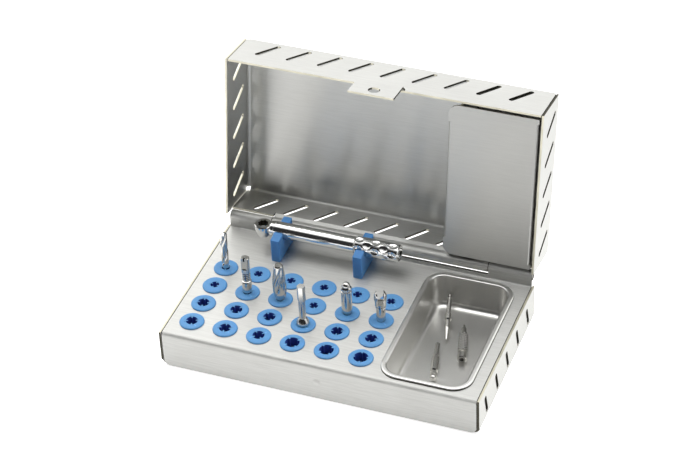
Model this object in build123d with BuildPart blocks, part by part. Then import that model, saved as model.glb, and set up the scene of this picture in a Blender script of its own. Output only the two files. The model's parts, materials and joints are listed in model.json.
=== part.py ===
from build123d import *
import math
import os

# Instrument cassette: folded sheet base and hinged lid, silicone grommets and holders, a loose bowl,
# a ratchet and nine instruments. Millimetres, +X right, +Y back, +Z up, origin at the middle of the
# flat underside of the base. The lid stands open at rest.

# --- sheet metal -----------------------------------------------------------------------------------
length = 160.0  # over the side walls
depth = 87.3  # apron face to rear wall face
base_height = 20.2  # underside to deck face
sheet = 1.0
tray_bend = 3.2  # outer bend radii
deck_bend = 2.0
strip_bend = 1.8
seam = 0.4  # open seam beside the deck and at folded corners
floor_gap = 0.3  # underside to the apron's lower edge

front = -depth / 2
back = depth / 2
deck_half = length / 2 - sheet - seam

# --- hinge -----------------------------------------------------------------------------------------
pin_radius = 1.8
pin_clearance = 0.05
knuckle_radius = pin_radius + pin_clearance + sheet
knuckle_split = 56.6  # middle of the gap between knuckles, from the centre
split_gap = 0.5
strip_rise = 2.3  # strip height in front of the middle knuckle
hinge_rise = 5.05  # pin axis above the deck
strip_y = back - sheet
knuckle_sweep = 290  # degrees of the roll
hinge_y = strip_y + knuckle_radius
hinge_z = base_height + hinge_rise

# --- lid -------------------------------------------------------------------------------------------
open_angle = 99.5
lid_depth = 85.1
lid_height = 27.5  # rim to panel face
lid_bend = 2.6
lid_rest = 0.2  # rim above the deck when shut
lid_clearance = 0.15  # rear wall to knuckles
rear_edge = 5.6  # rim line to the rear wall's raw edge, beside the middle knuckle
joggle_start = 8.6  # rim line to where the middle knuckle's strip leaves the wall
rim_z = base_height + lid_rest
lid_back = strip_y - lid_clearance

# --- latch -----------------------------------------------------------------------------------------
catch_z = 10.2
catch_radius = 2.4
catch_height = 0.6
tab_gap = 0.8  # tab to apron face when shut
tab_half = 11.4
tab_reach = 15.3  # beyond the rim
tab_hole = 2.9

# --- slots -----------------------------------------------------------------------------------------
base_slot_length, base_slot_width, base_slot_pitch, base_slot_lean = 11.6, 2.8, 16.28, 16.0
lid_slot_length, lid_slot_width, lid_slot_lean = 15.2, 2.6, 31.0
front_slot_drop, rear_slot_drop, side_slot_drop = 16.2, 14.6, 14.3  # below the rim
long_slots, side_slots = 9, 5
slot_end = 15.8  # side wall to the middle of the first slot
lid_slot_pitch = (length - 2 * slot_end) / (long_slots - 1)

# --- bowl ------------------------------------------------------------------------------------------
bowl_side_gap, bowl_front_gap, bowl_rear_gap = 6.7, 2.95, 3.95  # from the base's outer faces
bowl_width, bowl_corner = 45.1, 10.0
bowl_length = depth - bowl_front_gap - bowl_rear_gap
bowl_x = length / 2 - bowl_side_gap - bowl_width / 2
bowl_y = front + bowl_front_gap + bowl_length / 2
bowl_lip, bowl_lip_height, bowl_seat = 2.1, 1.15, 0.05
bowl_wall, bowl_floor_z, bowl_draft, bowl_round = 0.8, 3.1, 4.0, 4.0
bowl_clearance = 0.5

# --- ratchet ---------------------------------------------------------------------------------------
ratchet_back, ratchet_rise = 11.05, 12.6  # axis from the base's rear face and over the deck
ratchet_y, ratchet_z = back - ratchet_back, base_height + ratchet_rise
head_side = 24.0  # side wall to the head's axis
head_x = head_side - length / 2
head_radius, head_foot, head_straight = 4.35, 3.0, 2.5  # top and bottom radius, height of the straight side
head_rise, head_height = 1.85, 6.9  # top over the tube's axis, and whole height
neck_radius, neck_start, neck_length = 3.85, 3.85, 6.2  # start and end from the head's axis
tube_radius, tube_wall, tube_length, cradle_gap = 4.05, 0.8, 42.4, 0.2
tube_start = head_x + neck_length
tube_end = tube_start + tube_length
nut_gap, nut_length, nut_radius, nut_recess = 0.2, 22.6, 4.65, 1.8
nut_start = tube_end + nut_gap
nut_end = nut_start + nut_length
rod_end = nut_end - 3.5
scallops, scallop_depth, scallop_radius = 6, 0.55, 5.2
fit = 0.05
wheel_bore, wheel_tip, wheel_hub, wheel_teeth = 3.75, 3.65, 3.15, 14
tooth_depth, wheel_half, wheel_cover = 0.38, 1.1, 0.75
socket_inner = 2.05  # half the flats of each of the socket's two squares
through_radius = 2.3  # hole under the socket
pawl_radius, pawl_length, pawl_play = 0.9, 2.6, 0.1
screw_radius, screw_sink, screw_inset = 0.75, 1.5, 1.5
spring_radius, spring_wire, spring_turns = 0.6, 0.25, 4
rod_radius, spigot_length = 1.5, 4.0

# --- ratchet holders -------------------------------------------------------------------------------
holder_x = (head_x + 9.7, nut_start + 3.65)
holder_thickness, holder_round = 4.8, 0.7
holder_front, holder_rear = 9.7, 8.6  # from the ratchet's axis
holder_front_top, holder_rear_top, holder_inner_top = 12.9, 14.3, 14.0  # over the deck
holder_tenon, tenon_clearance, tenon_lip, tenon_lip_height = 12.0, 0.1, 0.8, 1.4

# --- grommets --------------------------------------------------------------------------------------
columns, rows = 6, 4
grid_side, grid_front, grid_bowl, grid_back = 12.22, 11.9, 10.03, 12.2  # from walls, bowl and holders
grid_x, grid_y = grid_side - length / 2, front + grid_front  # front left grommet
column_pitch = (bowl_x - bowl_width / 2 - grid_bowl - grid_x) / (columns - 1)
row_pitch = (ratchet_y - holder_front - grid_back - grid_y) / (rows - 1)
flange_radius, flange_height, flange_round = 6.05, 0.95, 0.55
barrel_radius, barrel_clearance = 4.2, 0.1
lip_radius, lip_height, plug_depth = 4.8, 1.6, 4.6
rib_width = 0.7
# hole radius and the gap inside its ribs
openings = {"narrow": (2.1, 1.24), "medium": (2.8, 1.8), "wide": (3.4, 2.7)}
opening_rows = (
    ("medium", "medium", "medium", "wide", "wide", "wide"),
    ("medium", "medium", "medium", "medium", "medium", "medium"),
    ("narrow", "narrow", "narrow", "narrow", "narrow", "narrow"),
    ("narrow", "narrow", "narrow", "narrow", "narrow", "narrow"),
)
rib_turns = ((20, 5, 45, 45, 45, 8), (8, 50, 38, 20, 12, 0), (75, 20, 60, 30, 40, 5), (15, 0, 45, 30, 70, 20))

# --- bowl cover inside the lid ---------------------------------------------------------------------
cover_side, cover_width = 2.5, 44.1
cover_right = length / 2 - cover_side
cover_left = cover_right - cover_width
cover_rear, cover_front, cover_drop = 1.3, 81.7, 1.7  # from the lid's rear face and rim
cover_corner, cover_bend, cover_foot = 5.0, 1.6, 7.0
cover_left_inset, cover_right_inset = 9.0, 2.5  # from the plate's ends to its legs
rivet_radius, rivet_head, rivet_rise = 1.0, 1.7, 0.7

# --- instruments -----------------------------------------------------------------------------------
shank_radius, shank_length, tool_seat = 1.175, 12.5, 0.1
latch_width, latch_height, latch_groove = 0.45, 3.0, 0.3
# places are (column, row); heights are over the deck
drill_place, drill_height, drill_radius, drill_start, drill_twist = (0, 3), 22.5, 1.75, 1.2, 330
step_place, step_height, step_radius, step_foot_radius = (1, 2), 22.0, 2.1, 2.4
step_grip, step_flat, step_rings, ring_pitch, ring_depth = 7.4, 6.5, 5, 1.05, 0.35
flame_place, flame_height, flame_radius, flame_tip, flame_foot = (2, 2), 21.6, 3.45, 2.2, 2.2
flame_flutes, flame_flute, flame_twist = 3, 1.9, 100
hex_place, hex_height, hex_radius, hex_shaft, hex_collar, hex_flats = (3, 1), 24.0, 2.0, 1.65, 3.1, 8.5
ball_place, ball_height, ball_radius, ball_body, ball_cut = (4, 2), 19.4, 2.0, 2.6, 3.2
crown_place, crown_height, crown_radius, crown_neck, crown_head = (5, 2), 18.4, 3.1, 2.25, 8.2
crown_wall, crown_window = 0.7, 3.3

# --- instruments in the bowl: places from its middle, along it as shares of its length --------------
slim_foot_x, slim_head_x, slim_reach = -4.45, -11.05, (0.124, 0.4415)
slim_low, slim_high, slim_collar = 5.6, 10.9, 1.7
knurl_foot_x, knurl_head_x, knurl_reach, knurl_low = 0.95, 7.55, (0.266, -0.035), 6.3
knurl_radius, knurl_flutes = 2.25, 16
rod_foot_x, rod_head_x, rod_reach, rod_low, rod_body, rod_ball = -7.15, -1.15, (0.0634, -0.25), 6.0, 1.9, 1.6


def in_bowl(across, share, height):
    """Point in the bowl: across from its middle, along it as a share of its length, and up."""
    return bowl_x + across, bowl_y + share * bowl_length, height


slim_foot = in_bowl(slim_foot_x, slim_reach[0], slim_low)
slim_head = in_bowl(slim_head_x, slim_reach[1], slim_high)
knurl_foot = in_bowl(knurl_foot_x, knurl_reach[0], knurl_low)
knurl_head = in_bowl(knurl_head_x, knurl_reach[1], knurl_low)
rod_foot = in_bowl(rod_foot_x, rod_reach[0], rod_low)
rod_head = in_bowl(rod_head_x, rod_reach[1], rod_low)


def folded(points, radius, side):
    """Cross-section of a folded sheet: its outer face runs through the points."""
    with BuildSketch() as section:
        with BuildLine():
            FilletPolyline(*points, radius=radius)
            offset(amount=sheet, side=side)
        make_face()
    return section.sketch


def curl(centre, start, sweep):
    """Cross-section of a sheet edge rolled round the hinge pin, from one angle through a sweep."""
    reach = 3 * knuckle_radius
    gap_angles = [start + sweep + k * (360 - abs(sweep)) / 4 * math.copysign(1, sweep) for k in range(5)]
    rays = [
        (centre[0] + reach * math.cos(math.radians(a)), centre[1] + reach * math.sin(math.radians(a)))
        for a in gap_angles
    ]
    with BuildSketch() as section:
        with Locations(centre):
            Circle(knuckle_radius)
            Circle(knuckle_radius - sheet, mode=Mode.SUBTRACT)
        with BuildLine():
            Polyline(centre, *rays, close=True)
        make_face(mode=Mode.SUBTRACT)
    return section.sketch


def finish(builder, name):
    """Label a finished piece and write it as its own STEP file."""
    builder.part.label = name
    export_step(builder.part, f"parts/{name}.step")


def lathe(foot, head):
    """Plane for half profiles drawn as (radius, height) along the line from foot to head."""
    axis = (Vector(*head) - Vector(*foot)).normalized()
    guide = Vector(1, 0, 0) if abs(axis.X) < 0.9 else Vector(0, 1, 0)
    across = (guide - axis * axis.dot(guide)).normalized()
    return Plane(origin=foot, x_dir=across, z_dir=across.cross(axis))


def half_profile(steps):
    """Half outline of a turned piece, as pairs of radius and height from its foot to its top."""
    with BuildSketch() as section:
        with BuildLine():
            Polyline((0, steps[0][1]), *steps, (0, steps[-1][1]), close=True)
        make_face()
    return section.sketch


def ribbed_hole(radius, rib_gap, turn):
    """Outline of a grommet's opening: a round hole with four ribs that grip a shank."""
    with BuildSketch() as section:
        Circle(radius)
        with PolarLocations((radius + rib_gap) / 2 + 0.5, 4, start_angle=turn):
            Rectangle(radius - rib_gap + 1, rib_width, mode=Mode.SUBTRACT)
    return section.sketch


os.makedirs("parts", exist_ok=True)

# === base tray =====================================================================================
half = length / 2
with BuildPart() as base_tray:
    side_fold = [(-half, base_height), (-half, 0), (half, 0), (half, base_height)]
    with BuildSketch(Plane.XZ):
        add(folded(side_fold, tray_bend, Side.LEFT))
    extrude(amount=depth / 2, both=True)
    # the floor stops behind the apron and leaves the rear strip to the rear fold
    with BuildSketch(Plane.XY):
        with Locations((0, front), (0, back)):
            Rectangle(length, 2 * tray_bend)
        with Locations((0, front + sheet + tray_bend)):
            Rectangle(length, 2 * tray_bend, mode=Mode.SUBTRACT)
    extrude(amount=tray_bend, mode=Mode.SUBTRACT)
    rear_fold = [(back - 4 * tray_bend, 0), (back, 0), (back, base_height - sheet)]
    with BuildSketch(Plane.YZ):
        add(folded(rear_fold, tray_bend, Side.LEFT))
    extrude(amount=half - sheet - seam, both=True)
    with BuildSketch(Plane.XY):
        with GridLocations(length - tray_bend, 0, 2, 1):
            with Locations((0, back - tray_bend / 2)):
                Rectangle(tray_bend, tray_bend)
    extrude(amount=tray_bend, mode=Mode.SUBTRACT)
    with BuildSketch(Plane.YZ):
        with Locations((-0.5, base_height / 2)):
            with GridLocations(base_slot_pitch, 0, side_slots, 1):
                SlotOverall(base_slot_length, base_slot_width, rotation=base_slot_lean - 90)
    extrude(amount=length, both=True, mode=Mode.SUBTRACT)
finish(base_tray, "base_tray")

# === top plate: deck, apron with its pressed catch, hinge strip and outer knuckles ==================
deck_top = Plane.XY.offset(base_height)
with BuildPart() as top_plate:
    deck_line = [(front, floor_gap), (front, base_height), (strip_y, base_height), (strip_y, hinge_z)]
    with BuildSketch(Plane.YZ):
        add(folded(deck_line, (deck_bend, strip_bend - sheet), Side.RIGHT))
        add(curl((hinge_y, hinge_z), 180, -knuckle_sweep))
    extrude(amount=deck_half, both=True)
    # the middle knuckle belongs to the lid, so only a low strip stays in front of it
    with BuildSketch(Plane.YZ):
        with Locations((strip_y, base_height + strip_rise), (back, base_height)):
            Rectangle(3 * knuckle_radius, 3 * knuckle_radius, align=(Align.MIN, Align.MIN))
    extrude(amount=knuckle_split + split_gap / 2, both=True, mode=Mode.SUBTRACT)
    apron_corners = top_plate.edges().filter_by(Axis.Y).group_by(Axis.Z)[0]
    fillet(apron_corners, tray_bend)
    with BuildSketch(deck_top):
        grid_middle = (grid_x + column_pitch * (columns - 1) / 2, grid_y + row_pitch * (rows - 1) / 2)
        with Locations(grid_middle):
            with GridLocations(column_pitch, row_pitch, columns, rows):
                Circle(barrel_radius + barrel_clearance)
        with Locations((bowl_x, bowl_y)):
            opening = bowl_lip - bowl_clearance
            RectangleRounded(bowl_width - 2 * opening, bowl_length - 2 * opening, bowl_corner - opening)
        with Locations(*[(x, ratchet_y) for x in holder_x]):
            Rectangle(holder_thickness - 1 + 2 * tenon_clearance, holder_tenon + 2 * tenon_clearance)
    extrude(amount=-2 * sheet, mode=Mode.SUBTRACT)
    # the catch is pressed out of the apron, so it is hollow behind
    with BuildSketch(Plane.XZ.offset(-front)):
        with Locations((0, catch_z)):
            Circle(catch_radius)
    extrude(amount=-2 * sheet, mode=Mode.SUBTRACT)
    with BuildSketch(Plane.YZ):
        with BuildLine():
            apex, rim = front - catch_height, catch_z + catch_radius
            middle = (front - catch_height * 0.72, catch_z + catch_radius * 0.52)
            ThreePointArc((apex, catch_z), middle, (front, rim))
            Line((front, rim), (front + sheet, rim))
            ThreePointArc((front + sheet, rim), (middle[0] + sheet, middle[1]), (apex + sheet, catch_z))
            Line((apex + sheet, catch_z), (apex, catch_z))
        make_face()
    revolve(axis=Axis((0, 0, catch_z), (0, 1, 0)))
finish(top_plate, "top_plate")

# === hinge pin =====================================================================================
with BuildPart() as hinge_pin:
    with BuildSketch(Plane.YZ.offset(-deck_half + seam)):
        with Locations((hinge_y, hinge_z)):
            Circle(pin_radius)
    extrude(amount=2 * (deck_half - seam))
    chamfer(hinge_pin.edges().filter_by(GeomType.CIRCLE), 0.3)
finish(hinge_pin, "hinge_pin")

# === lid planes: the lid is drawn as a tray lying on its panel, rim up, in its own open frame ========
lid_corner = Vector(0, lid_back - hinge_y, rim_z - hinge_z).rotate(Axis.X, -open_angle)
lid_corner += Vector(0, hinge_y, hinge_z)
lid_up = Vector(0, 0, -1).rotate(Axis.X, -open_angle)
lid_rim = Plane(origin=lid_corner, x_dir=(1, 0, 0), z_dir=lid_up)
lid_across = Plane(origin=lid_corner, x_dir=(1, 0, 0), z_dir=-lid_rim.y_dir)
lid_along = Plane(origin=lid_corner, x_dir=lid_rim.y_dir, z_dir=(1, 0, 0))
hinge_u, hinge_v = lid_back - hinge_y, rim_z - hinge_z
knuckle_half = knuckle_split - split_gap / 2

# === lid shell =====================================================================================
with BuildPart() as lid_shell:
    side_fold = [(-half, 0), (-half, -lid_height), (half, -lid_height), (half, 0)]
    with BuildSketch(lid_across):
        add(folded(side_fold, lid_bend, Side.LEFT))
    extrude(amount=-lid_depth)
    panel_face = lid_rim.offset(-lid_height)
    with BuildSketch(panel_face):
        with Locations((0, 0), (0, lid_depth)):
            Rectangle(length, 2 * lid_bend)
    extrude(amount=lid_bend, mode=Mode.SUBTRACT)
    end_fold = [(0, -rear_edge), (0, -lid_height), (lid_depth, -lid_height), (lid_depth, 0)]
    with BuildSketch(lid_along):
        add(folded(end_fold, lid_bend, Side.LEFT))
    extrude(amount=half - sheet - seam, both=True)
    # square reliefs where the four bends meet
    with BuildSketch(panel_face):
        with Locations((0, lid_depth / 2)):
            with GridLocations(length - lid_bend, lid_depth - lid_bend, 2, 2):
                Rectangle(lid_bend, lid_bend)
    extrude(amount=lid_bend, mode=Mode.SUBTRACT)
    # the middle knuckle's strip leaves the rear wall, steps back and curls round the pin
    with BuildSketch(lid_rim):
        Rectangle(2 * knuckle_half + split_gap, 4 * sheet)
    extrude(amount=-joggle_start, mode=Mode.SUBTRACT)
    tangent_u = hinge_u + knuckle_radius
    joggle = [
        (sheet, -joggle_start),
        (sheet, -joggle_start + 0.6),
        (tangent_u, hinge_v - 1.2),
        (tangent_u, hinge_v),
    ]
    with BuildSketch(lid_along):
        add(folded(joggle, (1.2, 1.2), Side.LEFT))
        add(curl((hinge_u, hinge_v), 0, knuckle_sweep))
    extrude(amount=knuckle_half, both=True)
    # the latch tab steps out past the apron
    tab_u = lid_depth + (lid_back - lid_depth - front) + tab_gap + sheet
    tab_line = [(lid_depth, -4), (lid_depth, -1.8), (tab_u, 1.6), (tab_u, tab_reach)]
    with BuildSketch(lid_along):
        add(folded(tab_line, (1.6, 1.6), Side.LEFT))
    extrude(amount=tab_half, both=True)
    with BuildSketch(lid_across.offset(-tab_u)):
        with Locations((0, rim_z - catch_z)):
            Circle(tab_hole)
    extrude(amount=2 * sheet, both=True, mode=Mode.SUBTRACT)
    for drop, u in ((front_slot_drop, lid_depth), (rear_slot_drop, 0)):
        with BuildSketch(lid_across.offset(-u)):
            with Locations((0, -drop)):
                with GridLocations(lid_slot_pitch, 0, long_slots, 1):
                    SlotOverall(lid_slot_length, lid_slot_width, rotation=lid_slot_lean - 90)
        extrude(amount=2 * sheet, both=True, mode=Mode.SUBTRACT)
    with BuildSketch(lid_along):
        with Locations((lid_depth / 2 - 0.5, -side_slot_drop)):
            with GridLocations(lid_slot_pitch, 0, side_slots, 1):
                SlotOverall(lid_slot_length, lid_slot_width, rotation=lid_slot_lean - 90)
    extrude(amount=length, both=True, mode=Mode.SUBTRACT)
finish(lid_shell, "lid_shell")

# === bowl cover: a plate on two bent legs, riveted to the lid's panel ===============================
cover_bottom = -lid_height + sheet
with BuildPart() as bowl_cover:
    with BuildSketch(lid_rim.offset(-cover_drop)):
        with Locations(((cover_left + cover_right) / 2, (cover_rear + cover_front) / 2)):
            Rectangle(cover_right - cover_left, cover_front - cover_rear)
    extrude(amount=-sheet)
    left_corners = bowl_cover.edges().filter_by(Axis((0, 0, 0), lid_rim.z_dir)).group_by(Axis.X)[0]
    fillet(left_corners, cover_corner)
    for leg_x, foot_turn, inset, side in (
        (cover_left, cover_foot, cover_left_inset, Side.LEFT),
        (cover_right, -cover_foot, cover_right_inset, Side.RIGHT),
    ):
        leg_start, leg_end = cover_rear + inset, cover_front - inset
        with BuildSketch(lid_rim.offset(-cover_drop)):
            with Locations((leg_x, (leg_start + leg_end) / 2)):
                Rectangle(2 * cover_bend, leg_end - leg_start)
        extrude(amount=-sheet, mode=Mode.SUBTRACT)
        leg_line = [
            ((cover_left + cover_right) / 2, -cover_drop),
            (leg_x, -cover_drop),
            (leg_x, cover_bottom),
            (leg_x + foot_turn, cover_bottom),
        ]
        with BuildSketch(lid_across.offset(-leg_start)):
            add(folded(leg_line, cover_bend, side))
        extrude(amount=leg_start - leg_end)
    rivet_places = [
        (x, u)
        for x in (cover_left + cover_foot - 2.5, cover_right - cover_foot + 2.5)
        for u in (cover_rear + cover_left_inset + 6, cover_front - cover_left_inset - 6)
    ]
    with BuildSketch(lid_rim.offset(cover_bottom)):
        with Locations(*rivet_places):
            Circle(rivet_radius + fit)
    extrude(amount=sheet, mode=Mode.SUBTRACT)
finish(bowl_cover, "bowl_cover")

# === cover rivets: from the cover's feet, stopping at the panel ======================================
with BuildPart() as cover_rivets:
    with BuildSketch(lid_rim.offset(cover_bottom)):
        with Locations(*rivet_places):
            Circle(rivet_radius)
    extrude(amount=sheet)
    with BuildSketch(lid_rim.offset(cover_bottom + sheet)):
        with Locations(*rivet_places):
            Circle(rivet_head)
    extrude(amount=rivet_rise)
    rivet_tops = cover_rivets.faces().group_by(Axis((0, 0, 0), lid_rim.z_dir))[-1]
    chamfer(rivet_tops.edges(), rivet_rise * 0.4)
finish(cover_rivets, "cover_rivets")

# === bowl ==========================================================================================
rim_under = base_height + bowl_seat
wall_width, wall_length = bowl_width - 2 * bowl_lip, bowl_length - 2 * bowl_lip
wall_corner = bowl_corner - bowl_lip
inner_mouth = (wall_width - 2 * bowl_wall, wall_length - 2 * bowl_wall, wall_corner - bowl_wall)
with BuildPart() as bowl_hollow:
    with BuildSketch(Plane.XY.offset(rim_under)):
        with Locations((bowl_x, bowl_y)):
            RectangleRounded(*inner_mouth)
    extrude(amount=-(rim_under - bowl_floor_z - bowl_wall), taper=bowl_draft)
    fillet(bowl_hollow.faces().sort_by(Axis.Z)[0].edges(), bowl_round - bowl_wall)
with BuildPart() as bowl:
    with BuildSketch(Plane.XY.offset(rim_under)):
        with Locations((bowl_x, bowl_y)):
            RectangleRounded(wall_width, wall_length, wall_corner)
    extrude(amount=-(rim_under - bowl_floor_z), taper=bowl_draft)
    fillet(bowl.faces().sort_by(Axis.Z)[0].edges(), bowl_round)
    add(bowl_hollow.part, mode=Mode.SUBTRACT)
    with BuildSketch(Plane.XY.offset(rim_under)):
        with Locations((bowl_x, bowl_y)):
            RectangleRounded(bowl_width, bowl_length, bowl_corner)
            RectangleRounded(*inner_mouth, mode=Mode.SUBTRACT)
    extrude(amount=bowl_lip_height)
    fillet(bowl.faces().sort_by(Axis.Z)[-1].edges(), bowl_lip_height * 0.8)
finish(bowl, "bowl")

# === grommets ======================================================================================
def grommet_centre(column, row):
    """Where a grommet stands on the deck."""
    return grid_x + column_pitch * column, grid_y + row_pitch * row


soft_gap = 0.05
lip_top = -sheet - soft_gap
grommet_profile = [
    (barrel_radius - 0.9, -plug_depth),
    (lip_radius, lip_top - lip_height),
    (lip_radius, lip_top),
    (barrel_radius, lip_top),
    (barrel_radius, soft_gap),
    (flange_radius, soft_gap),
    (flange_radius, flange_height - flange_round),
    (flange_radius - flange_round, flange_height),
]
for row in range(rows):
    for column in range(columns):
        centre = grommet_centre(column, row)
        with BuildPart() as grommet:
            with BuildSketch(lathe((*centre, base_height), (*centre, base_height + 1))):
                add(half_profile(grommet_profile))
            revolve(axis=Axis((*centre, 0), (0, 0, 1)))
            hole_radius, rib_gap = openings[opening_rows[row][column]]
            with BuildSketch(deck_top.offset(flange_height)):
                with Locations(centre):
                    add(ribbed_hole(hole_radius, rib_gap, rib_turns[row][column]))
            extrude(amount=-2 * plug_depth, mode=Mode.SUBTRACT)
        finish(grommet, f"grommet_r{row}_c{column}")

# === ratchet holders ===============================================================================
for name, x, held in zip(("holder_left", "holder_right"), holder_x, (tube_radius, nut_radius)):
    with BuildPart() as holder:
        cradle = held + cradle_gap
        with BuildSketch(Plane.YZ.offset(x)):
            with BuildLine():
                Polyline(
                    (ratchet_y - holder_front, base_height + soft_gap),
                    (ratchet_y - holder_front, base_height + holder_front_top),
                    (ratchet_y - cradle, base_height + holder_inner_top),
                    (ratchet_y + cradle, base_height + holder_inner_top),
                    (ratchet_y + holder_rear, base_height + holder_rear_top),
                    (ratchet_y + holder_rear, base_height + soft_gap),
                    close=True,
                )
            make_face()
            with Locations((ratchet_y, ratchet_z)):
                Circle(cradle, mode=Mode.SUBTRACT)
                Rectangle(2 * cradle, 2 * cradle, align=(Align.CENTER, Align.MIN), mode=Mode.SUBTRACT)
        extrude(amount=holder_thickness / 2, both=True)
        fillet(holder.faces().filter_by(Axis.X).edges().filter_by(Axis.X, reverse=True), holder_round)
        with BuildSketch(deck_top.offset(soft_gap)):
            with Locations((x, ratchet_y)):
                Rectangle(holder_thickness - 1, holder_tenon)
        extrude(amount=lip_top - soft_gap - tenon_lip_height)
        with BuildSketch(deck_top.offset(lip_top)):
            with Locations((x, ratchet_y)):
                Rectangle(holder_thickness - 1 + 2 * tenon_lip, holder_tenon + 2 * tenon_lip)
        extrude(amount=-tenon_lip_height, taper=15)
    finish(holder, name)

# === ratchet =======================================================================================
head_top = ratchet_z + head_rise
head_plane = Plane(origin=(head_x, ratchet_y, head_top), x_dir=(1, 0, 0), z_dir=(0, 0, 1))
wheel_top = -wheel_cover - fit
wheel_middle = wheel_top - wheel_half
wheel_bottom = wheel_top - 2 * wheel_half
pawl_z = head_top + wheel_middle
bore_end = tube_start + spigot_length - 1
tube_inner = tube_radius - tube_wall
channel_radius = pawl_radius + fit
with BuildPart() as ratchet_head:
    with BuildSketch(lathe((head_x, ratchet_y, head_top - head_height), (head_x, ratchet_y, head_top))):
        add(half_profile([
            (head_foot - 0.3, 0),
            (head_foot, 0.3),
            (head_radius, head_height - head_straight),
            (head_radius, head_height - 0.35),
            (head_radius - 0.35, head_height),
        ]))
    revolve(axis=Axis((head_x, ratchet_y, 0), (0, 0, 1)))
    with BuildSketch(lathe((head_x, ratchet_y, ratchet_z), (tube_start, ratchet_y, ratchet_z))):
        add(half_profile([
            (neck_radius - 1.2, neck_start),
            (neck_radius - 0.35, neck_start + 0.35),
            (neck_radius, neck_start + 1.1),
            (neck_radius, neck_length),
            (tube_inner - fit, neck_length),
            (tube_inner - fit, neck_length + spigot_length),
        ]))
    revolve(axis=Axis((0, ratchet_y, ratchet_z), (1, 0, 0)))
    with BuildSketch(head_plane):
        Circle(wheel_bore)
    extrude(amount=wheel_bottom - fit, mode=Mode.SUBTRACT)
    with BuildSketch(head_plane):
        Circle(through_radius)
    extrude(amount=-head_height, mode=Mode.SUBTRACT)
    with BuildSketch(Plane.YZ.offset(head_x + wheel_hub)):
        with Locations((ratchet_y, pawl_z)):
            Circle(channel_radius)
    extrude(amount=bore_end - head_x - wheel_hub, mode=Mode.SUBTRACT)
    screw_x = tube_start + screw_inset
    spigot_top = Plane(origin=(screw_x, ratchet_y, ratchet_z + tube_radius), x_dir=(1, 0, 0), z_dir=(0, 0, 1))
    with BuildSketch(spigot_top):
        Circle(screw_radius + fit)
    extrude(amount=-screw_sink, mode=Mode.SUBTRACT)
finish(ratchet_head, "ratchet_head")

with BuildPart() as ratchet_cap:
    with BuildSketch(head_plane):
        Circle(wheel_bore - fit)
        Circle(wheel_hub + fit, mode=Mode.SUBTRACT)
    extrude(amount=-wheel_cover)
finish(ratchet_cap, "ratchet_cap")

tooth_step = 360 / wheel_teeth
with BuildPart() as ratchet_wheel:
    with BuildSketch(head_plane.offset(wheel_top)):
        teeth = []
        for k in range(wheel_teeth):
            for radius, share in ((wheel_tip, 0), (wheel_tip - tooth_depth, 0.08)):
                angle = math.radians((k + share) * tooth_step)
                teeth.append((radius * math.cos(angle), radius * math.sin(angle)))
        with BuildLine():
            Polyline(*teeth, close=True)
        make_face()
    extrude(amount=-2 * wheel_half)
    with BuildSketch(head_plane.offset(wheel_middle)):
        Circle(wheel_hub)
    extrude(amount=-wheel_middle)
    with BuildSketch(head_plane):
        RegularPolygon(socket_inner, 4, major_radius=False)
        RegularPolygon(socket_inner, 4, major_radius=False, rotation=45)
    extrude(amount=2 * wheel_bottom, mode=Mode.SUBTRACT)
finish(ratchet_wheel, "ratchet_wheel")

pawl_tip = head_x + wheel_tip + pawl_play
with BuildPart() as ratchet_pawl:
    with BuildSketch(Plane.YZ.offset(pawl_tip)):
        with Locations((ratchet_y, pawl_z)):
            Circle(pawl_radius)
    extrude(amount=pawl_length)
    chamfer(ratchet_pawl.faces().sort_by(Axis.X)[0].edges(), pawl_radius * 0.6)
finish(ratchet_pawl, "ratchet_pawl")

with BuildPart() as pawl_screw:
    with BuildSketch(spigot_top):
        Circle(screw_radius)
    extrude(amount=-screw_sink + fit)
    with BuildSketch(spigot_top):
        RegularPolygon(screw_radius * 0.55, 6)
    extrude(amount=-0.7, mode=Mode.SUBTRACT)
finish(pawl_screw, "pawl_screw")

spring_start = pawl_tip + pawl_length + spring_wire / 2 + fit
spring_room = bore_end - spring_start - spring_wire / 2 - fit
with BuildPart() as pawl_spring:
    with BuildLine():
        coil = Helix(
            spring_room / spring_turns, spring_room, spring_radius,
            center=(spring_start, ratchet_y, pawl_z), direction=(1, 0, 0),
        )
    with BuildSketch(Plane(origin=coil @ 0, z_dir=coil % 0)):
        RegularPolygon(spring_wire / 2, 6)
    sweep(is_frenet=True)
finish(pawl_spring, "pawl_spring")

with BuildPart() as ratchet_handle:
    with BuildSketch(lathe((tube_start, ratchet_y, ratchet_z), (tube_end, ratchet_y, ratchet_z))):
        add(half_profile([
            (tube_radius - 0.3, 0),
            (tube_radius, 0.3),
            (tube_radius, tube_length - 0.3),
            (tube_radius - 0.3, tube_length),
            (rod_radius, tube_length),
            (rod_radius, rod_end - tube_start),
        ]))
    revolve(axis=Axis((0, ratchet_y, ratchet_z), (1, 0, 0)))
    with BuildSketch(Plane.YZ.offset(tube_start)):
        with Locations((ratchet_y, ratchet_z)):
            Circle(tube_inner)
    extrude(amount=tube_length - 2 * tube_wall, mode=Mode.SUBTRACT)
    with BuildSketch(spigot_top):
        Circle(screw_radius + fit)
    extrude(amount=-screw_sink, mode=Mode.SUBTRACT)
finish(ratchet_handle, "ratchet_handle")

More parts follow.
